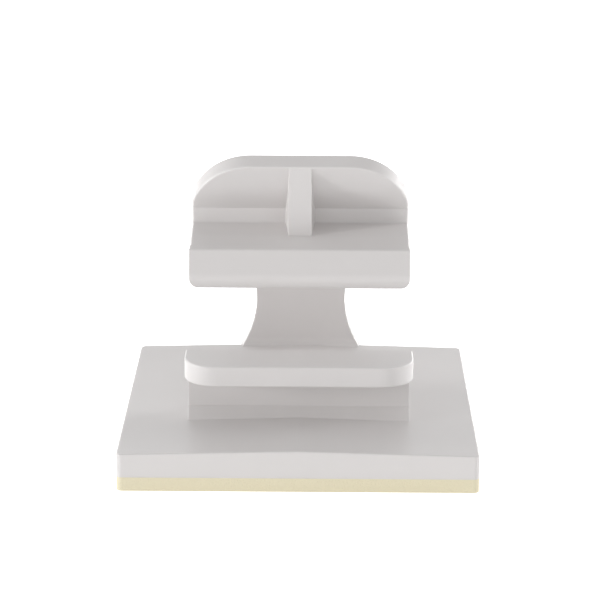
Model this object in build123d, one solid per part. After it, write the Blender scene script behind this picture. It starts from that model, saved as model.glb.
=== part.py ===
from build123d import *
import math
import os

# A cable clip that is stuck down by a foam pad. Plate, catch, strap and latch head are one
# moulding, made in the open position: the strap bends in use until the head snaps over the lip.
# Millimetres. The origin is the middle of the sticky face, +Z is up, and the lip faces -Y.

# Foam pad and base plate
BASE_SIDE = 25.4
BASE_CORNER = 0.4
FOAM_THICK = 1.0
PLATE_RIM = 1.7
PLATE_CROWN = 0.3

# Catch: an upright wall a little in front of the open head, with a lip that points outwards
CATCH_SETOUT = 0.73
WALL_WIDTH = 16.0
WALL_THICK = 1.5
WALL_FOOT = 0.66
LIP_WIDTH = 16.5
LIP_REACH = 2.7
LIP_THICK = 1.49
LIP_TOP = 4.75
LIP_CORNER = 2.35

# Strap: rises behind the plate and bends forward over the cables, as wide as the head it carries
ARM_WIDTH = 16.0
STRAP_THICK = 1.4
STRAP_INSET = 0.25
STRAP_TOP = 13.9
STRAP_BEND = 6.5
STRAP_FLAT = 1.76
HEEL_ROUND = 1.3
FOOT_SPLAY = 0.3
FOOT_ROUND = 0.6

# Neck: a round bite out of each side of the strap makes it bend there, above a foot with upright sides
NECK_WIDTH = 6.95
NECK_BITE = 7.1
NECK_ROOF = 2.74
NECK_CUSP = 1.2
FOOT_WIDTH = 9.6
FOOT_BLEND = 0.6

# Latch head: a ledge below the strap's end, and a leaning front face
LEDGE_DEPTH = 5.22
LEDGE_DROP = 1.1
LEDGE_FALL = 0.93
LEDGE_CROWN = 0.12
LEDGE_BOW_RADIUS = 5.0
RIDGE_HEIGHT = 0.36
RIDGE_WIDTH = 0.6
RIDGE_ROUND = 0.2
NOSE_LEAN = 16.2
NOSE_ROUND = 1.0
NOSE_CORNER = 0.95
NOSE_WALL = 1.0
NOSE_ROOF = 0.75

# Hook behind the nose, which closes under the lip
LATCH_PLAY = 0.06
HOOK_THICK = 0.44
HOOK_REACH = 0.75
HOOK_TIP = 0.3

# Finger tab: leans forward over the ledge, and a drafted rib props it up
TAB_RISE = 3.7
TAB_REACH = 2.65
TAB_THICK = 1.25
TAB_BOW = 0.35
TAB_BOW_RADIUS = 5.0
TAB_CORNER = 4.4
RIB_FRONT = 1.65
RIB_ROOT = 2.3
RIB_SETBACK = 0.2

# Small rounding that moulding leaves, how far one stretch starts inside another, and a hair's breadth
EDGE = 0.12
INNER_CORNER = 0.2
TAB_ROOT_ROUND = 0.8
BURIED = 0.3
TOUCH = 0.01
CUT_THROUGH = 3.0

plate_under = FOAM_THICK
rim_z = FOAM_THICK + PLATE_RIM
crown_z = rim_z + PLATE_CROWN
lip_top_z = rim_z + LIP_TOP
lip_under_z = lip_top_z - LIP_THICK

strap_front_y = BASE_SIDE / 2 - STRAP_INSET
strap_back_y = strap_front_y + STRAP_THICK
strap_top_z = rim_z + STRAP_TOP
strap_under_z = strap_top_z - STRAP_THICK

# Unit vectors in (y, z): up along the finger tab, and out through its back
tab_length = math.hypot(TAB_REACH, TAB_RISE)
tab_up = (-TAB_REACH / tab_length, TAB_RISE / tab_length)
tab_out = (TAB_RISE / tab_length, TAB_REACH / tab_length)

tab_back_y = strap_back_y - STRAP_THICK - STRAP_BEND - STRAP_FLAT
channel_y = tab_back_y - TAB_THICK / tab_out[0]
head_front_y = channel_y - LEDGE_DEPTH
ledge_back_z = strap_top_z - LEDGE_DROP
valley_z = ledge_back_z - LEDGE_FALL
ridge_z = valley_z + RIDGE_HEIGHT
roof_z = valley_z - NOSE_ROOF
hook_top_z = roof_z - LIP_THICK - LATCH_PLAY
nose_low_z = hook_top_z - HOOK_THICK

wall_back_y = head_front_y - CATCH_SETOUT
wall_front_y = wall_back_y - WALL_THICK
lip_front_y = wall_front_y - LIP_REACH


def face_y(z):
    """Where the leaning front face stands at a height."""
    return head_front_y - (ridge_z - z) * math.tan(math.radians(NOSE_LEAN))


def inner_face_y(z):
    """Where the inside of the nose stands at a height."""
    return face_y(z) + NOSE_WALL / math.cos(math.radians(NOSE_LEAN))


def side_face(corners):
    """A face in the side view from (y, z, radius) corners, each rounded by its own radius."""
    points = [(y, z) for y, z, _ in corners]
    radii = [radius for _, _, radius in corners]
    return Plane.YZ * make_face(FilletPolyline(*points, radius=radii, close=True))


def across(face, width):
    """The solid of a side view, spread to both sides of the middle."""
    return extrude(face, amount=width / 2, both=True)


def base_plate():
    """Square plate whose top falls in two flat slopes from a middle line."""
    half = BASE_SIDE / 2
    outline = Polyline(
        (-half, plate_under),
        (half, plate_under),
        (half, rim_z),
        (0, crown_z),
        (-half, rim_z),
        close=True,
    )
    plate = extrude(Plane.XZ * make_face(outline), amount=half, both=True)
    plate = fillet(plate.edges().filter_by(Axis.Z), BASE_CORNER)
    middle_line = plate.edges().filter_by(Axis.Y).sort_by(Axis.Z)[-1]
    slopes = plate.faces().sort_by(Axis.Z)[-2:]
    rim = [edge for edge in slopes.edges() if edge != middle_line]
    return fillet(rim, EDGE)


def foam_pad():
    """The sticky pad, cut to the plate's outline."""
    pad = Pos(0, 0, FOAM_THICK / 2) * Box(BASE_SIDE, BASE_SIDE, FOAM_THICK)
    return fillet(pad.edges().filter_by(Axis.Z), BASE_CORNER)


def catch():
    """Upright wall on splayed feet, and the lip that the hook snaps under."""
    buried_z = rim_z - BURIED
    foot_z = crown_z + WALL_FOOT
    splay = foot_z - buried_z
    head_z = lip_under_z + LIP_THICK / 2
    wall = across(
        side_face([
            (wall_front_y - splay, buried_z, 0),
            (wall_front_y, foot_z, 0),
            (wall_front_y, head_z, 0),
            (wall_back_y, head_z, 0),
            (wall_back_y, foot_z, 0),
            (wall_back_y + splay, buried_z, 0),
        ]),
        WALL_WIDTH,
    )
    lip_depth = wall_back_y - lip_front_y
    lip = Pos(0, lip_front_y + lip_depth / 2, head_z) * Box(LIP_WIDTH, lip_depth, LIP_THICK)
    lip = fillet(lip.edges().filter_by(Axis.Z).group_by(Axis.Y)[0], LIP_CORNER)
    flats = lip.faces().sort_by(Axis.Z)
    lip = fillet(flats[0].edges() + flats[-1].edges(), EDGE)
    return wall + lip


def strap_and_head():
    """Heel, strap, step, finger tab, ledge, nose and hook as one side view, spread across."""
    tip_front = (channel_y - TAB_REACH, strap_top_z + TAB_RISE)
    tip_back = (tip_front[0] + TAB_THICK * tab_out[0], tip_front[1] + TAB_THICK * tab_out[1])
    bow_front = (
        channel_y - TAB_REACH / 2 - TAB_BOW * tab_out[0],
        strap_top_z + TAB_RISE / 2 - TAB_BOW * tab_out[1],
    )
    bow_back = (bow_front[0] + TAB_THICK * tab_out[0], bow_front[1] + TAB_THICK * tab_out[1])
    ledge_mid = (
        (head_front_y + RIDGE_WIDTH + channel_y) / 2,
        (valley_z + ledge_back_z) / 2 + LEDGE_CROWN,
    )
    hook_tip_y = inner_face_y(hook_top_z) + HOOK_REACH
    buried_z = rim_z - BURIED
    splay_z = crown_z + FOOT_SPLAY
    root_y = strap_front_y - (splay_z - buried_z)
    corners = [
        (root_y, plate_under, 0),
        (strap_back_y, plate_under, HEEL_ROUND),
        (strap_back_y, strap_top_z, STRAP_BEND + STRAP_THICK),
        (tab_back_y, strap_top_z, TAB_ROOT_ROUND),
        (bow_back[0], bow_back[1], TAB_BOW_RADIUS - TAB_THICK),
        (tip_back[0], tip_back[1], 0),
        (tip_front[0], tip_front[1], 0),
        (bow_front[0], bow_front[1], TAB_BOW_RADIUS),
        (channel_y, strap_top_z, EDGE),
        (channel_y, ledge_back_z, INNER_CORNER),
        (ledge_mid[0], ledge_mid[1], LEDGE_BOW_RADIUS),
        (head_front_y + RIDGE_WIDTH, valley_z, INNER_CORNER),
        (head_front_y, ridge_z, RIDGE_ROUND),
        (face_y(nose_low_z), nose_low_z, NOSE_ROUND),
        (hook_tip_y - HOOK_TIP, nose_low_z, 0),
        (hook_tip_y, hook_top_z, 0),
        (inner_face_y(hook_top_z), hook_top_z, 0),
        (inner_face_y(roof_z), roof_z, INNER_CORNER),
        (channel_y + STRAP_THICK, ledge_back_z - STRAP_THICK, INNER_CORNER),
        (channel_y + STRAP_THICK, strap_under_z, INNER_CORNER),
        (strap_front_y, strap_under_z, STRAP_BEND),
        (strap_front_y, splay_z, FOOT_ROUND),
        (root_y, buried_z, 0),
    ]
    return across(side_face(corners), ARM_WIDTH)


def spandrels(width, radius, reach):
    """What rounding two corners takes away: each a square bar less its round, with y = 0 as the edge."""
    square = Pos(width / 2, 0) * Rectangle(radius, radius, align=(Align.MAX, Align.MAX))
    corner = square - Pos(width / 2 - radius, -radius) * Circle(radius)
    pair = corner + mirror(corner, Plane.YZ)
    return extrude(pair, amount=reach, both=True)


def tab_corners():
    """The two rounded corners of the finger tab, cut square to the tab."""
    tip = (0, channel_y - TAB_REACH, strap_top_z + TAB_RISE)
    tab_plane = Plane(origin=tip, x_dir=(1, 0, 0), z_dir=(0, -tab_out[0], -tab_out[1]))
    return tab_plane * spandrels(ARM_WIDTH, TAB_CORNER, TAB_THICK + CUT_THROUGH)


def nose_corners():
    """The two rounded lower corners of the nose, cut straight through from the front."""
    front_view = Plane(origin=(0, head_front_y, nose_low_z), x_dir=(1, 0, 0), z_dir=(0, 1, 0))
    return front_view * spandrels(ARM_WIDTH, NOSE_CORNER, NOSE_WALL + HOOK_REACH + CUT_THROUGH)


def neck_bites():
    """The round bite out of each side of the strap, cut through from the back down to its foot."""
    bite_x = NECK_WIDTH / 2 + NECK_BITE
    foot_x = FOOT_WIDTH / 2
    middle_z = strap_top_z - NECK_ROOF - NECK_BITE
    beside_foot = Pos(foot_x, middle_z) * Rectangle(
        NECK_BITE, middle_z - plate_under + CUT_THROUGH, align=(Align.MIN, Align.MAX)
    )
    bite = Pos(bite_x, middle_z) * Circle(NECK_BITE) + beside_foot
    meeting = bite.vertices().filter_by(lambda corner: abs(corner.X - foot_x) < TOUCH).sort_by(Axis.Y)[-1]
    bite = fillet(meeting, FOOT_BLEND)
    from_back = Plane(origin=(0, strap_back_y + CUT_THROUGH, 0), x_dir=(1, 0, 0), z_dir=(0, -1, 0))
    depth = STRAP_THICK + STRAP_BEND + 2 * CUT_THROUGH
    return from_back * extrude(bite + mirror(bite, Plane.YZ), amount=depth)


def tab_rib():
    """Three-cornered rib between tab and ledge, thicker at its root than at its front edge."""
    tip_y = channel_y - TAB_REACH
    tip_z = strap_top_z + TAB_RISE
    foot_y = tip_y + RIB_SETBACK
    root_y = channel_y + TAB_THICK / 2
    outline = across(
        side_face([
            (foot_y, valley_z, 0),
            (tip_y + EDGE / 2, tip_z - EDGE, 0),
            (tip_y + TAB_THICK / 2, tip_z, 0),
            (root_y, strap_top_z, 0),
            (root_y, valley_z, 0),
        ]),
        RIB_ROOT,
    )
    plan = Polyline(
        (-RIB_FRONT / 2, tip_y),
        (RIB_FRONT / 2, tip_y),
        (RIB_ROOT / 2, root_y),
        (-RIB_ROOT / 2, root_y),
        close=True,
    )
    return outline & extrude(Pos(0, 0, valley_z) * make_face(plan), amount=tip_z - valley_z)


def arm():
    """Strap and head with their cut corners and neck, and a small round all along the outer border."""
    blank = strap_and_head() - tab_corners() - nose_corners() - neck_bites()
    along = blank.edges().filter_by(Axis.Y)
    at_sides = along.filter_by(lambda edge: abs(edge.center().X) > ARM_WIDTH / 2 - EDGE)
    cusps = at_sides.filter_by(lambda edge: edge.center().Y > strap_front_y - STRAP_BEND)
    blank = fillet(cusps, NECK_CUSP)
    across_tab = Plane(origin=(0, 0, 0), z_dir=(0, tab_up[0], tab_up[1]))
    tip_face = blank.faces().filter_by(across_tab).sort_by(Axis.Z)[-1]
    return fillet(tip_face.edges().filter_by(Axis.X), EDGE)


def clip_body():
    """The whole moulding."""
    return base_plate() + catch() + arm() + tab_rib()


os.makedirs("parts", exist_ok=True)
export_step(clip_body(), "parts/clip_body.step")
export_step(foam_pad(), "parts/foam_pad.step")
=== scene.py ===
"""A self-adhesive cable clip: the moulding, its foam pad, a pale studio and the camera."""

import logging
import math
from dataclasses import dataclass
from enum import Enum

import bpy
from mathutils import Matrix, Vector

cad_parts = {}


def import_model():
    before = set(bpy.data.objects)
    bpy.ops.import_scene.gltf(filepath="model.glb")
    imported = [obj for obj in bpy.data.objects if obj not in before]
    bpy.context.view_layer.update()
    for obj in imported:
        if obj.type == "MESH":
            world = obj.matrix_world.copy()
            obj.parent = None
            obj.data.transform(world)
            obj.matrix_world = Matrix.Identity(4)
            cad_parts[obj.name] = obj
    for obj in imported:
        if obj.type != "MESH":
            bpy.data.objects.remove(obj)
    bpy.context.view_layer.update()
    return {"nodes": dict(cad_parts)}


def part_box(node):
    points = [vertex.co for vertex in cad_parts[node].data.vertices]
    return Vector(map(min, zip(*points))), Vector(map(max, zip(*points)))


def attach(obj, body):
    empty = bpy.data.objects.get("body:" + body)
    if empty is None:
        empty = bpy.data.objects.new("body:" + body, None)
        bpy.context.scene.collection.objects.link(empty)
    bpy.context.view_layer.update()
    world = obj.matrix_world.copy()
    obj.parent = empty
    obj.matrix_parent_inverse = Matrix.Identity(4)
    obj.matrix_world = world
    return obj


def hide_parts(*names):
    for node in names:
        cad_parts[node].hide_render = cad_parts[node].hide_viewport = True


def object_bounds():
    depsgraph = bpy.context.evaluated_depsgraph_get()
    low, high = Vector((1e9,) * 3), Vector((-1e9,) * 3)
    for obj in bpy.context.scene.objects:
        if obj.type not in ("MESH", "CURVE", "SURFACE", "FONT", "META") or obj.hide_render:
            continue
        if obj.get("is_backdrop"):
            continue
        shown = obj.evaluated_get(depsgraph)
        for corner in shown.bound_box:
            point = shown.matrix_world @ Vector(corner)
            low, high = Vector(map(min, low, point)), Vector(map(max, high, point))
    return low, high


LOG = logging.getLogger("cable_clip")
MM = 0.001
BODY = "root"
IMAGE_PX = 600

# The sRGB curve: a straight foot up to its knee, and a power above it.
SRGB_KNEE = 0.04045
SRGB_FOOT = 12.92
SRGB_OFFSET = 0.055
SRGB_POWER = 2.4

# Sockets of a Mix node that mixes colours.
MIX_SHARE = 0
MIX_FIRST = 6
MIX_SECOND = 7
MIX_RESULT = 2


class Node(Enum):
    """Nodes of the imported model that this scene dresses."""

    MOULDING = "clip_body"
    PAD = "foam_pad"


class Paint(Enum):
    """Colours as they are written in sRGB."""

    PLASTIC = "#dbd8d7"
    PLASTIC_SHADE = "#d8d5d4"
    FOAM = "#e2dabf"
    FOAM_CELL = "#ded5b9"
    STICKY = "#ddd2ac"
    SHEET = "#f7f7f7"
    WHITE = "#ffffff"


def linear(paint: Paint) -> tuple[float, float, float, float]:
    """Turn a written colour into the linear one that shaders take.

    Args:
        paint: The colour in sRGB hex.

    Returns:
        Linear red, green and blue, and an alpha of 1.
    """
    levels = [int(paint.value[i : i + 2], 16) / 255 for i in (1, 3, 5)]
    red, green, blue = (
        v / SRGB_FOOT if v <= SRGB_KNEE else ((v + SRGB_OFFSET) / (1 + SRGB_OFFSET)) ** SRGB_POWER
        for v in levels
    )
    return red, green, blue, 1.0


def per_metre(size_mm: float) -> float:
    """Give the texture scale at which one feature is that many millimetres wide."""
    return 1 / (size_mm * MM)


def add_node(
    tree: bpy.types.NodeTree,
    kind: str,
    values: dict[str | int, object] | None = None,
    links: dict[str | int, bpy.types.NodeSocket] | None = None,
    **settings: object,
) -> bpy.types.Node:
    """Add one node with its settings, input values and incoming links.

    Args:
        tree: The tree that gets the node.
        kind: The node's type name.
        values: Input values by socket name or number.
        links: Output sockets that feed this node's inputs, by socket name or number.
        **settings: Properties of the node itself.

    Returns:
        The new node.
    """
    node = tree.nodes.new(kind)
    for key, setting in settings.items():
        setattr(node, key, setting)
    for key, value in (values or {}).items():
        node.inputs[key].default_value = value
    for key, socket in (links or {}).items():
        tree.links.new(socket, node.inputs[key])
    return node


def new_material(name: str) -> tuple[bpy.types.Material, bpy.types.NodeTree]:
    """Start an empty node material.

    Args:
        name: The material's name.

    Returns:
        The material and its cleared node tree.
    """
    material = bpy.data.materials.new(name)
    material.use_nodes = True
    material.node_tree.nodes.clear()
    return material, material.node_tree


@dataclass(frozen=True)
class MouldedPolyamide:
    """Injection-moulded natural nylon with a satin skin.

    The tool's polish gives a soft, even sheen, the melt leaves slow, very faint changes of shade, and a
    little light travels under the skin, equally far in each colour, which softens shadows and thin
    edges. The skin's grain is drawn coarser than the real one, so that it shows.
    """

    name: str = "moulded_polyamide"
    roughness: float = 0.34
    roughness_swing: float = 0.03
    ior: float = 1.53
    flow_mm: float = 6.0
    skin_mm: float = 0.22
    skin_detail: float = 3.0
    skin_grit: float = 0.6
    skin_depth_mm: float = 0.004
    skin_strength: float = 0.4
    edge_mm: float = 0.02
    edge_samples: int = 8
    milkiness: float = 0.5
    milky_mm: float = 0.15
    milky_rgb: tuple[float, float, float] = (1.0, 1.0, 1.0)

    def material(self) -> bpy.types.Material:
        """Build the plastic: faint flow marks, a fine skin, softened edges and a milky depth.

        Returns:
            The material.
        """
        material, tree = new_material(self.name)
        place = add_node(tree, "ShaderNodeTexCoord").outputs["Object"]
        flow = add_node(
            tree, "ShaderNodeTexNoise", {"Scale": per_metre(self.flow_mm)}, {"Vector": place}
        )
        skin = add_node(
            tree,
            "ShaderNodeTexNoise",
            {"Scale": per_metre(self.skin_mm), "Detail": self.skin_detail, "Roughness": self.skin_grit},
            {"Vector": place},
        )
        shade = add_node(
            tree,
            "ShaderNodeMix",
            {MIX_FIRST: linear(Paint.PLASTIC), MIX_SECOND: linear(Paint.PLASTIC_SHADE)},
            {MIX_SHARE: flow.outputs[0]},
            data_type="RGBA",
        )
        glossiest, dullest = self.roughness - self.roughness_swing, self.roughness + self.roughness_swing
        gloss = add_node(
            tree, "ShaderNodeMapRange", {"To Min": glossiest, "To Max": dullest}, {"Value": flow.outputs[0]}
        )
        soft_edge = add_node(
            tree, "ShaderNodeBevel", {"Radius": self.edge_mm * MM}, samples=self.edge_samples
        )
        bump = add_node(
            tree,
            "ShaderNodeBump",
            {"Strength": self.skin_strength, "Distance": self.skin_depth_mm * MM},
            {"Height": skin.outputs[0], "Normal": soft_edge.outputs[0]},
        )
        surface = add_node(
            tree,
            "ShaderNodeBsdfPrincipled",
            {
                "IOR": self.ior,
                "Metallic": 0.0,
                "Subsurface Weight": self.milkiness,
                "Subsurface Radius": self.milky_rgb,
                "Subsurface Scale": self.milky_mm * MM,
            },
            {
                "Base Color": shade.outputs[MIX_RESULT],
                "Roughness": gloss.outputs[0],
                "Normal": bump.outputs[0],
            },
        )
        add_node(tree, "ShaderNodeOutputMaterial", links={"Surface": surface.outputs[0]})
        return material


@dataclass(frozen=True)
class CutFoam:
    """Closed-cell polyethylene foam, die-cut square: matt, with small burst cells along the cut."""

    name: str = "cut_polyethylene_foam"
    roughness: float = 0.85
    ior: float = 1.5
    cell_mm: float = 0.2
    cell_shade: float = 0.6
    tint_mm: float = 2.5
    wall_depth_mm: float = 0.02
    wall_strength: float = 0.15

    def material(self) -> bpy.types.Material:
        """Build the foam: each cell darker towards its edge, with raised walls between the cells.

        Returns:
            The material.
        """
        material, tree = new_material(self.name)
        place = add_node(tree, "ShaderNodeTexCoord").outputs["Object"]
        cell_scale = {"Scale": per_metre(self.cell_mm)}
        cells = add_node(tree, "ShaderNodeTexVoronoi", cell_scale, {"Vector": place}, feature="F1")
        walls = add_node(
            tree, "ShaderNodeTexVoronoi", cell_scale, {"Vector": place}, feature="DISTANCE_TO_EDGE"
        )
        tint = add_node(
            tree, "ShaderNodeTexNoise", {"Scale": per_metre(self.tint_mm)}, {"Vector": place}
        )
        depth = add_node(
            tree, "ShaderNodeMath", {1: self.cell_shade}, {0: cells.outputs["Distance"]}, operation="MULTIPLY"
        )
        amount = add_node(
            tree, "ShaderNodeMath", links={0: depth.outputs[0], 1: tint.outputs[0]}, operation="MULTIPLY"
        )
        colour = add_node(
            tree,
            "ShaderNodeMix",
            {MIX_FIRST: linear(Paint.FOAM), MIX_SECOND: linear(Paint.FOAM_CELL)},
            {MIX_SHARE: amount.outputs[0]},
            data_type="RGBA",
        )
        bump = add_node(
            tree,
            "ShaderNodeBump",
            {"Strength": self.wall_strength, "Distance": self.wall_depth_mm * MM},
            {"Height": walls.outputs["Distance"]},
            invert=True,
        )
        surface = add_node(
            tree,
            "ShaderNodeBsdfPrincipled",
            {"IOR": self.ior, "Roughness": self.roughness, "Metallic": 0.0},
            {"Base Color": colour.outputs[MIX_RESULT], "Normal": bump.outputs[0]},
        )
        add_node(tree, "ShaderNodeOutputMaterial", links={"Surface": surface.outputs[0]})
        return material


@dataclass(frozen=True)
class StickyFace:
    """Acrylic adhesive spread on the foam: tacky, half glossy, with slow ripples from the coater."""

    name: str = "acrylic_adhesive"
    roughness: float = 0.3
    ior: float = 1.47
    ripple_mm: float = 1.6
    ripple_detail: float = 3.0
    ripple_bend: float = 0.4
    ripple_depth_mm: float = 0.02
    ripple_strength: float = 0.4

    def material(self) -> bpy.types.Material:
        """Build the adhesive's rippled surface.

        Returns:
            The material.
        """
        material, tree = new_material(self.name)
        place = add_node(tree, "ShaderNodeTexCoord").outputs["Object"]
        ripple = add_node(
            tree,
            "ShaderNodeTexNoise",
            {
                "Scale": per_metre(self.ripple_mm),
                "Detail": self.ripple_detail,
                "Distortion": self.ripple_bend,
            },
            {"Vector": place},
        )
        colour = add_node(
            tree,
            "ShaderNodeMix",
            {MIX_FIRST: linear(Paint.FOAM), MIX_SECOND: linear(Paint.STICKY)},
            {MIX_SHARE: ripple.outputs[0]},
            data_type="RGBA",
        )
        bump = add_node(
            tree,
            "ShaderNodeBump",
            {"Strength": self.ripple_strength, "Distance": self.ripple_depth_mm * MM},
            {"Height": ripple.outputs[0]},
        )
        surface = add_node(
            tree,
            "ShaderNodeBsdfPrincipled",
            {"IOR": self.ior, "Roughness": self.roughness, "Metallic": 0.0},
            {"Base Color": colour.outputs[MIX_RESULT], "Normal": bump.outputs[0]},
        )
        add_node(tree, "ShaderNodeOutputMaterial", links={"Surface": surface.outputs[0]})
        return material


@dataclass
class ClipMoulding:
    """Plate, catch, strap and latch head: one moulding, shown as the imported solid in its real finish."""

    finish: MouldedPolyamide
    solid: bpy.types.Object

    def dress(self) -> bpy.types.Object:
        """Give the solid its plastic.

        Returns:
            The dressed solid.
        """
        material = self.finish.material()
        for place in self.solid.material_slots:
            place.material = material
        return self.solid


@dataclass
class FoamPad:
    """Die-cut foam under the plate, with burst cells on its cut sides.

    A dent slopes from its cell's wall over the bowl share of a cell, and all dents fade out over the
    rim share of the pad's thickness at each rim. The seed slides the cells by that many millimetres.
    """

    low: Vector
    high: Vector
    cut: CutFoam
    sticky: StickyFace
    corner_mm: float = 0.4
    corner_cuts: int = 12
    step_mm: float = 0.06
    weld_mm: float = 0.001
    dent_mm: float = 0.015
    bowl_share: float = 0.35
    rim_share: float = 0.1
    seed: int = 7
    fill: float = 1.0

    def tree(self) -> bpy.types.NodeTree:
        """Build the node tree: a wall of cells around the outline, and a flat face above and below.

        Returns:
            A geometry tree whose inputs are the pad's sizes, seed and two materials.
        """
        tree = bpy.data.node_groups.new("die_cut_pad", "GeometryNodeTree")
        inputs = (
            ("Side", "NodeSocketFloat"),
            ("Corner", "NodeSocketFloat"),
            ("Thickness", "NodeSocketFloat"),
            ("Along", "NodeSocketInt"),
            ("Up", "NodeSocketInt"),
            ("Cell", "NodeSocketFloat"),
            ("Dent", "NodeSocketFloat"),
            ("Seed", "NodeSocketFloat"),
            ("Cut", "NodeSocketMaterial"),
            ("Sticky", "NodeSocketMaterial"),
        )
        for name, kind in inputs:
            tree.interface.new_socket(name, in_out="INPUT", socket_type=kind)
        tree.interface.new_socket("Geometry", in_out="OUTPUT", socket_type="NodeSocketGeometry")
        size = add_node(tree, "NodeGroupInput").outputs
        outline = self.outline(tree, size)
        wall = self.wall(tree, size, outline)
        faces = self.faces(tree, size, outline)
        both = add_node(tree, "GeometryNodeJoinGeometry")
        for piece in (wall, faces):
            tree.links.new(piece, both.inputs[0])
        closed = add_node(
            tree,
            "GeometryNodeMergeByDistance",
            {"Distance": self.weld_mm * MM},
            {"Geometry": both.outputs[0]},
        )
        real = add_node(tree, "GeometryNodeRealizeInstances", links={"Geometry": closed.outputs[0]})
        add_node(tree, "NodeGroupOutput", links={0: real.outputs[0]})
        return tree

    def outline(self, tree: bpy.types.NodeTree, size: bpy.types.NodeOutputs) -> bpy.types.NodeSocket:
        """Draw the square with rounded corners that the die cuts.

        Args:
            tree: The tree that gets the nodes.
            size: The tree's inputs.

        Returns:
            The outline as a closed curve.
        """
        square = add_node(
            tree,
            "GeometryNodeCurvePrimitiveQuadrilateral",
            links={"Width": size["Side"], "Height": size["Side"]},
            mode="RECTANGLE",
        )
        rounded = add_node(
            tree,
            "GeometryNodeFilletCurve",
            {"Count": self.corner_cuts},
            {"Curve": square.outputs[0], "Radius": size["Corner"]},
            mode="POLY",
        )
        return rounded.outputs[0]

    def wall(
        self, tree: bpy.types.NodeTree, size: bpy.types.NodeOutputs, outline: bpy.types.NodeSocket
    ) -> bpy.types.NodeSocket:
        """Wrap a fine grid round the outline and press the burst cells into it.

        Args:
            tree: The tree that gets the nodes.
            size: The tree's inputs.
            outline: The closed curve that the wall stands on.

        Returns:
            The wall, open above and below, in the foam's material.
        """
        grid = add_node(
            tree,
            "GeometryNodeMeshGrid",
            {"Size X": 1.0, "Size Y": 1.0},
            {"Vertices X": size["Along"], "Vertices Y": size["Up"]},
        )
        spot = add_node(tree, "GeometryNodeInputPosition")
        across, upward, _ = add_node(tree, "ShaderNodeSeparateXYZ", links={0: spot.outputs[0]}).outputs
        along = add_node(tree, "ShaderNodeMath", {1: 0.5}, {0: across}, operation="ADD")
        share = add_node(tree, "ShaderNodeMath", {1: 0.5}, {0: upward}, operation="ADD")
        height = add_node(
            tree, "ShaderNodeMath", links={0: share.outputs[0], 1: size["Thickness"]}, operation="MULTIPLY"
        )
        foot = add_node(
            tree,
            "GeometryNodeSampleCurve",
            links={"Curves": outline, "Factor": along.outputs[0]},
            mode="FACTOR",
            data_type="FLOAT",
            use_all_curves=True,
        )
        rise = add_node(tree, "ShaderNodeCombineXYZ", links={2: height.outputs[0]})
        stand = add_node(
            tree,
            "ShaderNodeVectorMath",
            links={0: foot.outputs["Position"], 1: rise.outputs[0]},
            operation="ADD",
        )
        outward = add_node(
            tree,
            "ShaderNodeVectorMath",
            {1: (0.0, 0.0, 1.0)},
            {0: foot.outputs["Tangent"]},
            operation="CROSS_PRODUCT",
        )
        push = add_node(
            tree,
            "ShaderNodeVectorMath",
            links={0: outward.outputs[0], "Scale": self.dents(tree, size, stand.outputs[0], upward)},
            operation="SCALE",
        )
        pressed = add_node(
            tree,
            "ShaderNodeVectorMath",
            links={0: stand.outputs[0], 1: push.outputs[0]},
            operation="SUBTRACT",
        )
        wrapped = add_node(
            tree,
            "GeometryNodeSetPosition",
            links={"Geometry": grid.outputs[0], "Position": pressed.outputs[0]},
        )
        painted = add_node(
            tree,
            "GeometryNodeSetMaterial",
            links={"Geometry": wrapped.outputs[0], "Material": size["Cut"]},
        )
        return painted.outputs[0]

    def dents(
        self,
        tree: bpy.types.NodeTree,
        size: bpy.types.NodeOutputs,
        spot: bpy.types.NodeSocket,
        upward: bpy.types.NodeSocket,
    ) -> bpy.types.NodeSocket:
        """Work out how deep the burst cells are at each point of the wall.

        Args:
            tree: The tree that gets the nodes.
            size: The tree's inputs.
            spot: The point's place on the flat wall.
            upward: The point's height from the wall's middle, from -0.5 to 0.5.

        Returns:
            The depth in metres.
        """
        seeded = add_node(tree, "ShaderNodeVectorMath", links={0: spot, 1: size["Seed"]}, operation="ADD")
        scale = add_node(tree, "ShaderNodeMath", {0: 1.0}, {1: size["Cell"]}, operation="DIVIDE")
        cells = add_node(
            tree,
            "ShaderNodeTexVoronoi",
            links={"Vector": seeded.outputs[0], "Scale": scale.outputs[0]},
            feature="DISTANCE_TO_EDGE",
        )
        bowl = add_node(
            tree,
            "ShaderNodeMapRange",
            {"From Max": self.bowl_share},
            {"Value": cells.outputs["Distance"]},
            interpolation_type="SMOOTHSTEP",
        )
        off_middle = add_node(tree, "ShaderNodeMath", links={0: upward}, operation="ABSOLUTE")
        inner = add_node(
            tree,
            "ShaderNodeMapRange",
            {"From Min": 0.5, "From Max": 0.5 - self.rim_share},
            {"Value": off_middle.outputs[0]},
            interpolation_type="SMOOTHSTEP",
        )
        dent = add_node(
            tree, "ShaderNodeMath", links={0: bowl.outputs[0], 1: inner.outputs[0]}, operation="MULTIPLY"
        )
        depth = add_node(
            tree, "ShaderNodeMath", links={0: dent.outputs[0], 1: size["Dent"]}, operation="MULTIPLY"
        )
        return depth.outputs[0]

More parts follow.
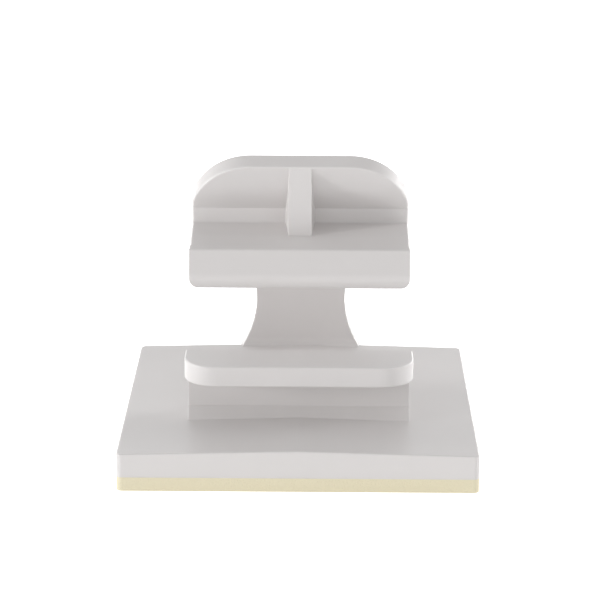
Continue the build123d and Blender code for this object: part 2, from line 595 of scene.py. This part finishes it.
    def faces(
        self, tree: bpy.types.NodeTree, size: bpy.types.NodeOutputs, outline: bpy.types.NodeSocket
    ) -> bpy.types.NodeSocket:
        """Fill the outline below and above, with as many points as the wall has.

        Args:
            tree: The tree that gets the nodes.
            size: The tree's inputs.
            outline: The closed curve to fill.

        Returns:
            Both flat faces, in the adhesive's material.
        """
        points = add_node(tree, "ShaderNodeMath", {1: 1.0}, {0: size["Along"]}, operation="SUBTRACT")
        even = add_node(
            tree, "GeometryNodeResampleCurve", links={"Curve": outline, "Count": points.outputs[0]}
        )
        under = add_node(
            tree, "GeometryNodeFillCurve", links={"Curve": even.outputs[0]}, mode="TRIANGLES"
        )
        down = add_node(tree, "GeometryNodeFlipFaces", links={"Mesh": under.outputs[0]})
        rise = add_node(tree, "ShaderNodeCombineXYZ", links={2: size["Thickness"]})
        over = add_node(
            tree,
            "GeometryNodeTransform",
            links={"Geometry": under.outputs[0], "Translation": rise.outputs[0]},
        )
        both = add_node(tree, "GeometryNodeJoinGeometry")
        for piece in (down, over):
            tree.links.new(piece.outputs[0], both.inputs[0])
        painted = add_node(
            tree, "GeometryNodeSetMaterial", links={"Geometry": both.outputs[0], "Material": size["Sticky"]}
        )
        return painted.outputs[0]

    def build(self) -> bpy.types.Object:
        """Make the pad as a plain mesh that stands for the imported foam.

        Returns:
            The pad.
        """
        side = self.high.x - self.low.x
        thick = self.high.z - self.low.z
        step = self.step_mm * MM
        values = {
            "Side": side,
            "Corner": self.corner_mm * MM,
            "Thickness": thick,
            "Along": round(4 * side / step) + 1,
            "Up": round(thick / step) + 1,
            "Cell": self.cut.cell_mm * MM,
            "Dent": self.dent_mm * MM,
            "Seed": self.seed * MM,
            "Cut": self.cut.material(),
            "Sticky": self.sticky.material(),
        }
        maker = bpy.data.objects.new("pad_maker", bpy.data.meshes.new("pad_maker"))
        bpy.context.scene.collection.objects.link(maker)
        modifier = maker.modifiers.new("die_cut_pad", "NODES")
        modifier.node_group = self.tree()
        for item in modifier.node_group.interface.items_tree:
            if item.in_out == "INPUT":
                modifier[item.identifier] = values[item.name]
        evaluated = maker.evaluated_get(bpy.context.evaluated_depsgraph_get())
        mesh = bpy.data.meshes.new_from_object(evaluated)
        bpy.data.objects.remove(maker)
        pad = bpy.data.objects.new("die_cut_foam_pad", mesh)
        bpy.context.scene.collection.objects.link(pad)
        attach(pad, BODY)
        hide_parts(Node.PAD.value)
        return pad


@dataclass(frozen=True)
class Softbox:
    """A soft lamp with an oblong face, placed by where it stands as seen from the object."""

    name: str
    turn_deg: float
    height_deg: float
    watts: float
    wide_m: float
    tall_m: float = 0.12
    distance_m: float = 0.5

    def build(self, target: Vector) -> bpy.types.Object:
        """Hang the lamp and aim it at the object.

        Args:
            target: The point that the lamp faces.

        Returns:
            The lamp.
        """
        light = bpy.data.lights.new(self.name, "AREA")
        light.shape = "RECTANGLE"
        light.size, light.size_y = self.wide_m, self.tall_m
        light.energy = self.watts
        lamp = bpy.data.objects.new(self.name, light)
        turn, height = math.radians(self.turn_deg), math.radians(self.height_deg)
        away = Vector(
            (math.sin(turn) * math.cos(height), -math.cos(turn) * math.cos(height), math.sin(height))
        )
        place = target + away * self.distance_m
        lamp.matrix_world = Matrix.Translation(place) @ away.to_track_quat("Z", "Y").to_matrix().to_4x4()
        bpy.context.scene.collection.objects.link(lamp)
        return lamp


@dataclass
class Studio:
    """A faint light table in a white room, with low lamps at both sides, behind and in front.

    Sky and table each have one strength that lights the object, and another at which they are seen.
    """

    target: Vector
    sky_light: float = 0.49
    sky_shown: float = 1.0
    table_light: float = 0.36
    table_shown: float = 0.93
    table_m: float = 4.0
    lamps: tuple[Softbox, ...] = (
        Softbox("key_left", turn_deg=-70, height_deg=9, watts=1.12, wide_m=0.06, tall_m=0.08),
        Softbox("side_left", turn_deg=-102, height_deg=18, watts=0.3, wide_m=0.12),
        Softbox("side_right", turn_deg=103, height_deg=18, watts=0.88, wide_m=0.24, tall_m=0.14),
        Softbox("back_right", turn_deg=150, height_deg=10, watts=0.5, wide_m=0.3),
        Softbox("back_left", turn_deg=-150, height_deg=25, watts=0.23, wide_m=0.3),
        Softbox("front_right", turn_deg=25, height_deg=8, watts=0.2, wide_m=0.25),
    )

    def build(self) -> None:
        """Set up sky, table and lamps."""
        self.sky()
        self.table()
        for lamp in self.lamps:
            lamp.build(self.target)

    def white_share(self, tree: bpy.types.NodeTree, least: float, most: float) -> bpy.types.NodeSocket:
        """Tell the rays that see the room as white from those that light the object.

        Args:
            tree: The tree that gets the nodes.
            least: The value for rays that carry diffuse light.
            most: The value for the camera's rays, also once mirrored or let through.

        Returns:
            The value.
        """
        path = add_node(tree, "ShaderNodeLightPath").outputs
        seen = path["Is Camera Ray"]
        for kind in ("Is Glossy Ray", "Is Transmission Ray"):
            either = add_node(tree, "ShaderNodeMath", links={0: seen, 1: path[kind]}, operation="MAXIMUM")
            seen = either.outputs[0]
        share = add_node(tree, "ShaderNodeMapRange", {"To Min": least, "To Max": most}, {"Value": seen})
        return share.outputs[0]

    def sky(self) -> None:
        """Light the object evenly, and show white behind it."""
        world = bpy.data.worlds.new("white_room")
        world.use_nodes = True
        tree = world.node_tree
        tree.nodes.clear()
        light = add_node(
            tree,
            "ShaderNodeBackground",
            {"Color": linear(Paint.WHITE)},
            {"Strength": self.white_share(tree, self.sky_light, self.sky_shown)},
        )
        add_node(tree, "ShaderNodeOutputWorld", links={"Surface": light.outputs[0]})
        bpy.context.scene.world = world

    def table(self) -> bpy.types.Object:
        """Lay the table, which glows a little, looks white to the camera and keeps a faint shadow.

        Returns:
            The table.
        """
        half = self.table_m / 2
        mesh = bpy.data.meshes.new("light_table")
        corners = [(-half, -half, 0), (half, -half, 0), (half, half, 0), (-half, half, 0)]
        mesh.from_pydata(corners, [], [(0, 1, 2, 3)])
        table = bpy.data.objects.new("light_table", mesh)
        bpy.context.scene.collection.objects.link(table)
        material, tree = new_material("white_light_table")
        sheet = add_node(tree, "ShaderNodeBsdfDiffuse", {"Color": linear(Paint.SHEET)})
        glow = add_node(
            tree,
            "ShaderNodeEmission",
            {"Color": linear(Paint.WHITE)},
            {"Strength": self.white_share(tree, self.table_light, self.table_shown)},
        )
        lit = add_node(tree, "ShaderNodeAddShader", links={0: sheet.outputs[0], 1: glow.outputs[0]})
        add_node(tree, "ShaderNodeOutputMaterial", links={"Surface": lit.outputs[0]})
        mesh.materials.append(material)
        table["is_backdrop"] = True
        return table


@dataclass(frozen=True)
class PhotoCamera:
    """The photograph's viewpoint, solved from the corners of plate, lip and head.

    Its places are measured from a datum above the middle of the clip's foot.
    """

    focal_px: float = 2386.0
    sensor_mm: float = 36.0
    height_deg: float = 16.271
    turn_deg: float = -0.405
    roll_deg: float = -0.236
    distance_mm: float = 178.23
    aim_right_mm: float = 0.025
    aim_up_mm: float = 7.312
    datum_mm: float = 2.66
    nearest_mm: float = 1.0

    def build(self) -> bpy.types.Object:
        """Place the camera and make it the scene's own.

        Returns:
            The camera.
        """
        turn, height, roll = (math.radians(a) for a in (self.turn_deg, self.height_deg, self.roll_deg))
        right = Vector((math.cos(turn), -math.sin(turn), 0))
        away = Vector((math.sin(turn), math.cos(turn), 0))
        ahead = away * math.cos(height) - Vector((0, 0, math.sin(height)))
        up = away * math.sin(height) + Vector((0, 0, math.cos(height)))
        place = right * self.aim_right_mm + up * self.aim_up_mm - ahead * self.distance_mm
        place.z += self.datum_mm
        across = right * math.cos(roll) - up * math.sin(roll)
        upright = right * math.sin(roll) + up * math.cos(roll)
        data = bpy.data.cameras.new("photo_camera")
        data.sensor_width = self.sensor_mm
        data.lens = self.focal_px * self.sensor_mm / IMAGE_PX
        data.clip_start = self.nearest_mm * MM
        camera = bpy.data.objects.new("photo_camera", data)
        axes = Matrix((across, upright, -ahead)).transposed()
        camera.matrix_world = Matrix.Translation(place * MM) @ axes.to_4x4()
        bpy.context.scene.collection.objects.link(camera)
        bpy.context.scene.camera = camera
        return camera


def main() -> None:
    """Load the frame, dress the clip, and set up studio and camera."""
    logging.basicConfig(level=logging.INFO, format="%(message)s")
    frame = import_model()
    moulding = ClipMoulding(MouldedPolyamide(), frame["nodes"][Node.MOULDING.value])
    low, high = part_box(Node.PAD.value)
    pad = FoamPad(low, high, CutFoam(), StickyFace())
    for piece in (moulding.dress(), pad.build()):
        LOG.info("%s: %d faces", piece.name, len(piece.data.polygons))
    Studio(target=sum(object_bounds(), Vector()) / 2).build()
    PhotoCamera().build()
    bpy.context.scene.view_settings.view_transform = "Standard"


if __name__ == "__main__":
    main()
